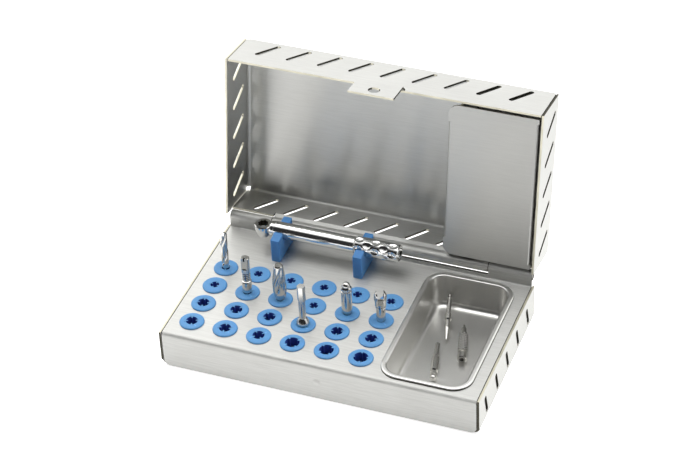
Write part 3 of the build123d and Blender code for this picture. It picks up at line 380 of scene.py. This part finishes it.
ALONG_X = (0.05, 1, 1)  # the grain's lines run along X
EVEN = (0.6, 0.6, 0.6)
MATERIALS = {
    "sheet_base": brushed_steel(
        "brushed sheet, base", ALONG_X, light=(0.69, 0.69, 0.668), dark=(0.61, 0.61, 0.588),
        rough=0.44, anisotropy=0.8, grain_depth=0.05, tangent=(1, 0, 0.03),
    ),
    "sheet_lid": brushed_steel(
        "brushed sheet, lid", ALONG_X, light=(0.675, 0.675, 0.652), dark=(0.625, 0.625, 0.602),
        rough=0.285, anisotropy=1.0, grain_depth=0.012, tangent=(1, 0.03, 0),
    ),
    "sheet_cover": brushed_steel(
        "brushed sheet, cover", ALONG_X, light=(0.59, 0.59, 0.568), dark=(0.555, 0.555, 0.535),
        rough=0.31, anisotropy=0.95, grain_depth=0.012, tangent=(1, 0.03, 0),
    ),
    "satin": brushed_steel(
        "satin pressed bowl", EVEN, light=(0.82, 0.815, 0.79), dark=(0.80, 0.795, 0.77),
        rough=0.28, anisotropy=0.0, grain_depth=0.01, tangent=(0, 1, 0.03),
    ),
    # cut edges: a beige painted highlight where lit; near-black painted shade elsewhere, on the bowl's lip
    # and in the wheel's socket
    "rim": polished_steel("cut rim of the sheet, painted highlight", (0.60, 0.575, 0.47), 0.45, marks_size=6.0),
    "cut": polished_steel("cut edge of the sheet in painted shade", (0.075, 0.07, 0.055), 0.6, marks_size=6.0),
    "pin": polished_steel("turned pins", (0.66, 0.655, 0.63), 0.32),
    "bright": polished_steel("polished ratchet steel", (0.80, 0.80, 0.79), 0.12),
    "tool": polished_steel("polished instrument steel", (0.64, 0.635, 0.615), 0.16),
    "loose": polished_steel("satin instrument steel", (0.66, 0.65, 0.62), 0.19),
    "silicone": silicone("blue silicone", (0.135, 0.365, 0.70), (0.105, 0.32, 0.65)),
    "holder": silicone("blue silicone of the holders", (0.11, 0.32, 0.68), (0.085, 0.275, 0.62)),
    # the knurl's valleys in painted shade, its crests worn and painted bright
    "knurl": knurled_steel("knurled steel", (0.04, 0.038, 0.032), (0.92, 0.91, 0.88)),
}

# --- pieces that follow the CAD surface ---------------------------------------------------------------

PLAIN, SHADE_SLOT, HIGHLIGHT_SLOT = 0, 1, 2  # material slots of a copied node: its own finish, painted shade and a painted highlight
SHEET = 1.0 * MM
RIM_UP = (0, 0, 1)
RIM_OF_LID = (0, -0.986, 0.165)  # out of the open lid, square to its rim
LID_LEFT_WALL = -74 * MM  # the lid's cut edges left of this X get the painted highlight too
LIP_EDGE = 1.1 * MM  # the outer edge of the bowl's lip lies this near the bowl's top
SOCKET_REACH = 2.9 * MM  # from the ratchet wheel's axis to the corners of its socket
HOLDER_BEVEL = 0.45 * MM
SHARP = 35.0  # degrees: a copied node's edges over this stay sharp


def sheet_marks(rim=None, lit_left=-1.0):
    """Marks a sheet's cut edges: a painted highlight where they face along rim or lie left of lit_left,
    else painted shade.
    """
    def mark(face, inside):
        # a ray into a face leaves after one thickness, and into a cut edge it runs on along the sheet
        middle = face.calc_center_median()
        depth = inside.ray_cast(middle - face.normal * 0.02 * MM, -face.normal, 0.5)[3]
        if depth is None or depth < 1.4 * SHEET:
            return PLAIN
        if middle.x < lit_left or (rim and face.normal.dot(Vector(rim)) > 0.8):
            return HIGHLIGHT_SLOT
        return SHADE_SLOT
    return mark


def middle_of(name):
    """The centre of a CAD node's box."""
    low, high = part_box(name)
    return (Vector(low) + Vector(high)) / 2


def lip_contact_shadow(name):
    """Marks the outer edge of the bowl's lip with painted shade, as the contact shadow where it stands on
    the deck.
    """
    centre, top = middle_of(name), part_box(name)[1][2]

    def mark(face, inside):
        middle = face.calc_center_median()
        outward = (middle - centre).to_2d().dot(face.normal.to_2d()) > 0
        return SHADE_SLOT if outward and middle.z > top - LIP_EDGE and face.normal.z < 0.4 else PLAIN
    return mark


def socket_shade(name):
    """Marks the walls of a wheel's socket with painted shade: they look at its axis."""
    centre = middle_of(name)

    def mark(face, inside):
        off = (centre - face.calc_center_median()).to_2d()
        return SHADE_SLOT if off.length < SOCKET_REACH and off.dot(face.normal.to_2d()) > 0 else PLAIN
    return mark


MARKS_OF = {
    "base_tray": sheet_marks(RIM_UP),
    "top_plate": sheet_marks(),
    "lid_shell": sheet_marks(RIM_OF_LID, LID_LEFT_WALL),
    "bowl_cover": sheet_marks(RIM_UP),
    "bowl": lip_contact_shadow("bowl"),
    "ratchet_wheel": socket_shade("ratchet_wheel"),
}


def smoothed(mesh, mark=None):
    """Merges a copied node's triangles, keeps its real edges sharp and gives marked faces their slots."""
    work = bmesh.new()
    work.from_mesh(mesh)
    bmesh.ops.remove_doubles(work, verts=work.verts, dist=1e-6)
    bmesh.ops.dissolve_degenerate(work, edges=work.edges, dist=1e-7)
    limit = math.radians(SHARP)
    for edge in work.edges:
        edge.smooth = len(edge.link_faces) == 2 and edge.calc_face_angle(0.0) < limit
    inside = BVHTree.FromBMesh(work)
    for face in work.faces:
        face.smooth = True
        face.material_index = mark(face, inside) if mark else PLAIN
    work.to_mesh(mesh)
    work.free()


def baked(piece):
    """The piece with its modifiers made into its mesh."""
    mesh = bpy.data.meshes.new_from_object(piece.evaluated_get(bpy.context.evaluated_depsgraph_get()))
    piece.modifiers.clear()
    piece.data = mesh
    return piece


def soften(piece):
    """Rounds the moulded edges of a holder."""
    bevel = piece.modifiers.new("soft edges", "BEVEL")
    bevel.width = HOLDER_BEVEL
    bevel.segments = 3
    bevel.limit_method = "ANGLE"
    bevel.angle_limit = math.radians(30)


def dressed(name, body, material):
    """A smooth-shaded copy of a CAD node that stands for it."""
    mesh = nodes[name].data.copy()
    mesh.name = name + "_skin"
    mesh.materials.clear()
    mesh.materials.append(material)
    mark = MARKS_OF.get(name)
    if mark:
        # marked faces get painted shade in the second slot and a painted highlight in the third
        mesh.materials.append(MATERIALS["cut"])
        mesh.materials.append(MATERIALS["rim"])
    smoothed(mesh, mark)
    piece = bpy.data.objects.new(name + "_skin", mesh)
    scene.collection.objects.link(piece)
    if name.startswith("holder"):
        soften(piece)
    weigh = piece.modifiers.new("weigh", "WEIGHTED_NORMAL")
    weigh.mode = "FACE_AREA"
    weigh.weight = 50
    weigh.keep_sharp = True
    baked(piece)
    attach(piece, body)
    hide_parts(name)


# --- turned and repeated pieces by geometry nodes -----------------------------------------------------

AROUND = 96  # steps round a turned piece
TIP_STEPS = 3  # steps from the middle of a rib's tip to its side
QUARTER = math.pi / 2


def new_tree(name, sizes, on_points=False):
    """An empty geometry tree with a named input for each size, and its input and output nodes."""
    tree = bpy.data.node_groups.new(name, "GeometryNodeTree")
    if on_points:
        tree.interface.new_socket("Geometry", in_out="INPUT", socket_type="NodeSocketGeometry")
    tree.interface.new_socket("Geometry", in_out="OUTPUT", socket_type="NodeSocketGeometry")
    for label, value in sizes.items():
        socket = tree.interface.new_socket(label, in_out="INPUT", socket_type="NodeSocketFloat")
        socket.default_value = value
    return tree, tree.nodes.new("NodeGroupInput"), tree.nodes.new("NodeGroupOutput")


def shares(tree):
    """How far along X and Y each point of a grid of size 1 is, from 0 to 1."""
    place = tree.nodes.new("GeometryNodeInputPosition")
    split = node(tree, "ShaderNodeSeparateXYZ", i0=place.outputs[0])
    return [math_node(tree, "ADD", split.outputs[axis], 0.5) for axis in ("X", "Y")]


def row_switch(tree, row, values):
    """Picks a row's value: each is a number or a socket."""
    made = tree.nodes.new("GeometryNodeIndexSwitch")
    made.data_type = "FLOAT"
    while len(made.index_switch_items) < len(values):
        made.index_switch_items.new()
    tree.links.new(row, made.inputs["Index"])
    for socket, value in zip(made.inputs[1:], values):
        fill(tree, socket, value)
    return made.outputs[0]


def rolled(tree, grid, attribute, value, radius, angle, height):
    """The grid rolled round Z and closed, with a value of each point kept as an attribute."""
    kept = node(
        tree, "GeometryNodeStoreNamedAttribute", {"data_type": "FLOAT", "domain": "POINT"},
        Geometry=grid.outputs["Mesh"], Name=attribute, Value=value,
    )
    across = math_node(tree, "MULTIPLY", radius, math_node(tree, "COSINE", angle))
    along = math_node(tree, "MULTIPLY", radius, math_node(tree, "SINE", angle))
    point = node(tree, "ShaderNodeCombineXYZ", X=across, Y=along, Z=height)
    wrapped = node(tree, "GeometryNodeSetPosition", Geometry=kept.outputs[0], Position=point.outputs[0])
    closed = node(tree, "GeometryNodeMergeByDistance", Geometry=wrapped.outputs[0], Distance=1e-6)
    return closed.outputs[0]


def ribbed_outline(tree, given, angle):
    """The outline of an opening that four ribs reach into: each point's reach and angle for an even angle.
    From a rib's middle the steps go to its side, out along the side to the wall, and on along the wall."""
    def do(operation, *values):
        return math_node(tree, operation, *values)

    hole, gap = given.outputs["Hole Radius"], given.outputs["Rib Gap"]
    signed = do("SUBTRACT", do("MODULO", do("ADD", angle, QUARTER / 2), QUARTER), QUARTER / 2)
    middle = do("SUBTRACT", angle, signed)
    step = do("MULTIPLY", do("ABSOLUTE", signed), AROUND / (2 * math.pi))
    on_tip = do("LESS_THAN", step, TIP_STEPS + 0.5)
    half = do("MULTIPLY", given.outputs["Rib Width"], 0.5)
    root = do("ARCSINE", do("DIVIDE", half, hole))
    part = do("DIVIDE", do("SUBTRACT", step, TIP_STEPS + 1.0), AROUND / 8 - TIP_STEPS - 1.0)
    wall_angle = do("MULTIPLY_ADD", part, do("SUBTRACT", QUARTER / 2, root), root)
    wall_x = do("MULTIPLY", hole, do("COSINE", wall_angle))
    wall_y = do("MULTIPLY", hole, do("SINE", wall_angle))
    # a rib narrows towards its tip a little more than a wedge would, so the outline never folds back
    narrowing = do("MULTIPLY", do("DIVIDE", gap, hole), 0.95)
    tip_y = do("MULTIPLY", do("DIVIDE", step, float(TIP_STEPS)), do("MULTIPLY", half, narrowing))
    x = do("MULTIPLY_ADD", on_tip, do("SUBTRACT", gap, wall_x), wall_x)
    y = do("MULTIPLY_ADD", on_tip, do("SUBTRACT", tip_y, wall_y), wall_y)
    reach = do("SQRT", do("MULTIPLY_ADD", x, x, do("MULTIPLY", y, y)))
    swing = do("MULTIPLY", do("SIGN", signed), do("ARCTAN2", y, x))
    return reach, do("ADD", middle, swing)


def turned_tree(name, sizes, rows, ribbed=False):
    """A ring or stud wrapped round Z from a grid. Each row is (size name or None, offset, at the opening,
    size name or None, offset): its radius, whether the opening's outline is added to it, and its height."""
    tree, given, out = new_tree(name, sizes)

    def sized(label, offset):
        return math_node(tree, "ADD", given.outputs[label], offset) if label else offset

    rows = rows + [rows[0]]
    grid = node(tree, "GeometryNodeMeshGrid", Size_X=1.0, Size_Y=1.0)
    grid.inputs["Vertices X"].default_value = AROUND + 1
    grid.inputs["Vertices Y"].default_value = len(rows)
    index = tree.nodes.new("GeometryNodeInputIndex")
    row = math_node(tree, "MODULO", index.outputs[0], float(len(rows)))
    angle = math_node(tree, "MULTIPLY", shares(tree)[0], 2 * math.pi)
    radius = row_switch(tree, row, [sized(label, offset) for label, offset, *_ in rows])
    height = row_switch(tree, row, [sized(label, offset) for *_, label, offset in rows])
    if ribbed:
        reach, opened = ribbed_outline(tree, given, angle)
        share = row_switch(tree, row, [float(at_hole) for _, _, at_hole, *_ in rows])
        radius = math_node(tree, "MULTIPLY_ADD", reach, share, radius)
        angle = math_node(tree, "MULTIPLY_ADD", math_node(tree, "SUBTRACT", opened, angle), share, angle)
    # the wall of the opening is marked, so that its material can paint shade there in deep blue
    in_wall = [float(bool(at_hole) and offset == 0) for _, offset, at_hole, *_ in rows]
    closed = rolled(tree, grid, "opening", row_switch(tree, row, in_wall), radius, angle, height)
    tree.links.new(closed, out.inputs["Geometry"])
    return tree


def finish_tree(tree, out, geometry, material, sharp_degrees=None):
    """Ends a tree: realized, smooth but for sharp edges where asked, and given its material."""
    made = node(tree, "GeometryNodeRealizeInstances", Geometry=geometry)
    if sharp_degrees:
        smooth = node(tree, "GeometryNodeSetShadeSmooth", Geometry=made.outputs[0])
        bend = tree.nodes.new("GeometryNodeInputMeshEdgeAngle")
        soft = math_node(tree, "LESS_THAN", bend.outputs[0], math.radians(sharp_degrees))
        made = node(
            tree, "GeometryNodeSetShadeSmooth", {"domain": "EDGE"},
            Geometry=smooth.outputs[0], Shade_Smooth=soft,
        )
    coated = node(tree, "GeometryNodeSetMaterial", Geometry=made.outputs[0], Material=material)
    tree.links.new(coated.outputs[0], out.inputs["Geometry"])


def placed_tree(name, kinds, sharp_degrees, material):
    """Sets turned pieces on points: kinds are (tree, {size: value}), picked by each point's "kind" and
    turned by its "turn"; then realized, shaded and given their material."""
    numbered = {}
    for number, (_, sizes) in enumerate(kinds):
        numbered.update({f"{label} {number}": value for label, value in sizes.items()})
    tree, given, out = new_tree(name, numbered, on_points=True)
    kind = node(tree, "GeometryNodeInputNamedAttribute", {"data_type": "INT"}, Name="kind")
    turn = node(tree, "GeometryNodeInputNamedAttribute", {"data_type": "FLOAT"}, Name="turn")
    euler = node(tree, "ShaderNodeCombineXYZ", Z=turn.outputs[0])
    spin = node(tree, "FunctionNodeEulerToRotation", i0=euler.outputs[0])
    joined = tree.nodes.new("GeometryNodeJoinGeometry")
    for number, (shape, sizes) in enumerate(kinds):
        made = tree.nodes.new("GeometryNodeGroup")
        made.node_tree = shape
        for label in sizes:
            tree.links.new(given.outputs[f"{label} {number}"], made.inputs[label])
        picked = node(
            tree, "FunctionNodeCompare", {"data_type": "INT", "operation": "EQUAL"}, A=kind.outputs[0],
        )
        for socket in picked.inputs:
            if socket.name == "B" and socket.type == "INT":
                socket.default_value = number
        instances = node(
            tree, "GeometryNodeInstanceOnPoints", Points=given.outputs["Geometry"],
            Selection=picked.outputs[0], Instance=made.outputs[0], Rotation=spin.outputs[0],
        )
        tree.links.new(instances.outputs[0], joined.inputs[0])
    finish_tree(tree, out, joined.outputs[0], material, sharp_degrees)
    return tree


def set_on_points(name, tree, points, sizes):
    """One mesh of the tree's pieces: points are (place, kind, turn); sizes are set by socket identifier."""
    mesh = bpy.data.meshes.new(name)
    mesh.from_pydata([place for place, _, _ in points], [], [])
    kinds = mesh.attributes.new("kind", "INT", "POINT")
    kinds.data.foreach_set("value", [kind for _, kind, _ in points])
    turns = mesh.attributes.new("turn", "FLOAT", "POINT")
    turns.data.foreach_set("value", [turn for _, _, turn in points])
    piece = bpy.data.objects.new(name, mesh)
    scene.collection.objects.link(piece)
    setter = piece.modifiers.new("set", "NODES")
    setter.node_group = tree
    names = {item.name: item.identifier for item in tree.interface.items_tree if item.in_out == "INPUT"}
    for label, value in sizes.items():
        setter[names[label]] = value
    baked(piece)
    work = bmesh.new()
    work.from_mesh(piece.data)
    bmesh.ops.delete(work, geom=[edge for edge in work.edges if not edge.link_faces], context="EDGES")
    if work.calc_volume(signed=True) < 0:
        bmesh.ops.reverse_faces(work, faces=work.faces)
    work.to_mesh(piece.data)
    work.free()
    return piece


def in_metres(rows):
    """A turned piece's rows, which are written in mm."""
    return [(radius, dr * MM, opened, height, dz * MM) for radius, dr, opened, height, dz in rows]


# --- grommets -----------------------------------------------------------------------------------------

# openings, row by row from the apron: 0 narrow, 1 medium, 2 wide, and how far each is turned in degrees
OPENING_KINDS = ((1, 1, 1, 2, 2, 2), (1, 1, 1, 1, 1, 1), (0, 0, 0, 0, 0, 0), (0, 0, 0, 0, 0, 0))
OPENING_TURNS = (
    (20, 5, 45, 45, 45, 8),
    (8, 50, 38, 20, 12, 0),
    (75, 20, 60, 30, 40, 5),
    (15, 0, 45, 30, 70, 20),
)
OPENING_SIZES = ((2.1, 1.24), (2.8, 1.8), (3.4, 2.7))  # hole radius and the gap inside its ribs
FLANGE_HEIGHT = 0.95
GROMMET_SIZES = {
    "Flange Radius": 6.05,
    "Flange Height": FLANGE_HEIGHT,
    "Barrel Radius": 4.2,
    "Hole Radius": 2.1,
    "Rib Gap": 1.24,
    "Rib Width": 0.7,
}
GROMMET_ROWS = (
    ("Barrel Radius", 0, 0, None, 0.05),
    ("Flange Radius", -0.12, 0, None, 0.05),
    ("Flange Radius", -0.02, 0, None, 0.14),
    ("Flange Radius", 0, 0, "Flange Height", -0.66),
    ("Flange Radius", -0.06, 0, "Flange Height", -0.50),
    ("Flange Radius", -0.22, 0, "Flange Height", -0.32),
    ("Flange Radius", -0.48, 0, "Flange Height", -0.16),
    ("Flange Radius", -0.85, 0, "Flange Height", -0.05),
    ("Flange Radius", -1.20, 0, "Flange Height", -0.02),
    ("Flange Radius", -1.28, 0, "Flange Height", -0.06),
    ("Flange Radius", -1.38, 0, "Flange Height", -0.01),
    ("Flange Radius", -1.70, 0, "Flange Height", 0),
    (None, 0.30, 1, "Flange Height", 0),
    (None, 0.10, 1, "Flange Height", -0.05),
    (None, 0, 1, "Flange Height", -0.20),
    (None, 0, 1, None, -4.6),
    ("Barrel Radius", -0.65, 0, None, -4.4),
    ("Barrel Radius", 0.6, 0, None, -2.7),
    ("Barrel Radius", 0.6, 0, None, -1.1),
    ("Barrel Radius", 0, 0, None, -1.05),
)


def build_grommets():
    """The deck's 24 grommets: a rounded flange with a groove, a ribbed opening and a barbed barrel."""
    sizes = {label: value * MM for label, value in GROMMET_SIZES.items()}
    shape = turned_tree("ribbed grommet", sizes, in_metres(GROMMET_ROWS), ribbed=True)
    kinds = [(shape, sizes)] * len(OPENING_SIZES)
    tree = placed_tree("grommets on the deck", kinds, 38, MATERIALS["silicone"])
    points, names = [], []
    for row, (opened, turns) in enumerate(zip(OPENING_KINDS, OPENING_TURNS)):
        for column, (kind, turn) in enumerate(zip(opened, turns)):
            name = f"grommet_r{row}_c{column}"
            middle, top = middle_of(name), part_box(name)[1][2]
            points.append(((middle.x, middle.y, top - FLANGE_HEIGHT * MM), kind, math.radians(turn)))
            names.append(name)
    openings = {}
    for number, (hole, gap) in enumerate(OPENING_SIZES):
        openings.update({f"Hole Radius {number}": hole * MM, f"Rib Gap {number}": gap * MM})
    piece = set_on_points("grommets", tree, points, openings)
    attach(piece, "base")
    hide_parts(*names)


# --- rivets of the cover ------------------------------------------------------------------------------

RIVET_SIZES = {"Head Radius": 1.68, "Head Rise": 0.68, "Shank Radius": 0.98}
RIVET_ROWS = (
    (None, 0, 0, "Head Rise", 0),
    ("Head Radius", -1.0, 0, "Head Rise", -0.02),
    ("Head Radius", -0.5, 0, "Head Rise", -0.10),
    ("Head Radius", -0.2, 0, "Head Rise", -0.25),
    ("Head Radius", -0.04, 0, "Head Rise", -0.45),
    ("Head Radius", 0, 0, None, 0.05),
    ("Head Radius", -0.05, 0, None, 0),
    ("Shank Radius", 0, 0, None, 0),
    ("Shank Radius", 0, 0, None, -0.98),
    (None, 0, 0, None, -0.98),
)
RIVET_LEAN = 80.5  # degrees from the deck's plane to the open lid's panel
LOWEST_RIVET = (1.70, 0.924, 1.668)  # from the low corner of the rivets' box to the foot of a head, in mm
HIGHEST_RIVET = (1.70, 1.150, 1.745)  # back from its high corner, in mm


def build_rivets():
    """The four rivets of the bowl's cover, square to the open lid's panel."""
    sizes = {label: value * MM for label, value in RIVET_SIZES.items()}
    shape = turned_tree("rivet", sizes, in_metres(RIVET_ROWS))
    tree = placed_tree("rivets of the cover", [(shape, sizes)], 50, MATERIALS["pin"])
    low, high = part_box("cover_rivets")
    first = Vector(low) + Vector(LOWEST_RIVET) * MM
    last = Vector(high) - Vector(HIGHEST_RIVET) * MM
    lean = Matrix.Rotation(math.radians(RIVET_LEAN), 4, "X")
    span = lean.inverted() @ (last - first)
    points = [((x, y, 0), 0, 0) for x in (0, span.x) for y in (0, span.y)]
    numbered = {f"{label} 0": value for label, value in sizes.items()}
    piece = set_on_points("rivet_set", tree, points, numbered)
    piece.data.transform(Matrix.Translation(first) @ lean)
    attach(piece, "lid")
    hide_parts("cover_rivets")


# --- knurl of a loose driver --------------------------------------------------------------------------

KNURL_AROUND, KNURL_ALONG = 9, 7  # points of the knurl
KNURL_STEPS = 10  # grid steps on one of them
KNURL_SIZES = {
    "Radius": 2.2 * MM,
    "Length": 12.4 * MM,
    "Depth": 0.30 * MM,
    "Around": float(KNURL_AROUND),
    "Along": float(KNURL_ALONG),
}
KNURL_START = 7.1 * MM  # from the driver's foot
DRIVER_FOOT, DRIVER_HEAD = (51.7, 20.886, 6.3), (58.3, -3.314, 6.3)  # ends of its axis, in mm
WHOLE_TURNS = 40.0  # a whole number that keeps a count positive and moves no line of the knurl


def knurl_tree(material):
    """A sleeve with a diamond knurl: a grid rolled round Z and raised between two sets of slanted lines."""
    tree, given, out = new_tree("knurled sleeve", KNURL_SIZES, on_points=True)

    def do(operation, *values):
        return math_node(tree, operation, *values)

    grid = node(tree, "GeometryNodeMeshGrid", Size_X=1.0, Size_Y=1.0)
    grid.inputs["Vertices X"].default_value = KNURL_AROUND * KNURL_STEPS + 1
    grid.inputs["Vertices Y"].default_value = KNURL_ALONG * KNURL_STEPS + 1
    round_share, up_share = shares(tree)
    around = do("MULTIPLY", round_share, given.outputs["Around"])
    along = do("MULTIPLY", up_share, given.outputs["Along"])
    rising = do("PINGPONG", do("ADD", around, along), 0.5)
    falling = do("PINGPONG", do("SUBTRACT", do("ADD", around, WHOLE_TURNS), along), 0.5)
    peak = do("MULTIPLY", do("MINIMUM", rising, falling), 2.0)
    ends = do("MINIMUM", do("MULTIPLY", do("PINGPONG", up_share, 0.5), 30.0), 1.0)
    raised = do("MULTIPLY", do("MULTIPLY", peak, ends), given.outputs["Depth"])
    radius = do("ADD", given.outputs["Radius"], raised)
    angle = do("MULTIPLY", round_share, 2 * math.pi)
    height = do("MULTIPLY", up_share, given.outputs["Length"])
    finish_tree(tree, out, rolled(tree, grid, "crest", peak, radius, angle, height), material)
    return tree


def build_knurl():
    """The knurl on the knurled driver, which lies in the bowl: its open ends are inside the driver."""
    foot, head = Vector(DRIVER_FOOT) * MM, Vector(DRIVER_HEAD) * MM
    axis = (head - foot).normalized()
    piece = set_on_points("driver_knurl", knurl_tree(MATERIALS["knurl"]), [((0, 0, 0), 0, 0)], KNURL_SIZES)
    turn = axis.to_track_quat("Z", "Y").to_matrix().to_4x4()
    piece.data.transform(Matrix.Translation(foot + axis * KNURL_START) @ turn)
    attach(piece, "knurled_driver")


# --- the whole cassette -------------------------------------------------------------------------------

BODY_OF = {n: body for body, members in frame["record"]["behaviour"]["bodies"].items() for n in members}
SLOT_OF = {entry["node"]: entry["material_slot"] for entry in frame["record"]["subparts"]}
MATERIAL_OF_SLOT = {
    "brushed_sheet": "sheet_base",
    "satin_sheet": "satin",
    "plain_pin": "pin",
    "blue_silicone": "holder",
    "polished_steel": "bright",
    "tool_steel": "tool",
}
MATERIAL_OF_NODE = {
    "lid_shell": "sheet_lid",
    "bowl_cover": "sheet_cover",
    "slim_driver": "loose",
    "knurled_driver": "loose",
    "ball_end_driver": "loose",
}


def build_skins():
    """Dresses every node that isn't made by geometry nodes."""
    for name in sorted(nodes):
        if not name.startswith("grommet_") and name != "cover_rivets":
            look = MATERIAL_OF_NODE.get(name, MATERIAL_OF_SLOT[SLOT_OF[name]])
            dressed(name, BODY_OF[name], MATERIALS[look])


build_grommets()
build_rivets()
build_knurl()
build_skins()
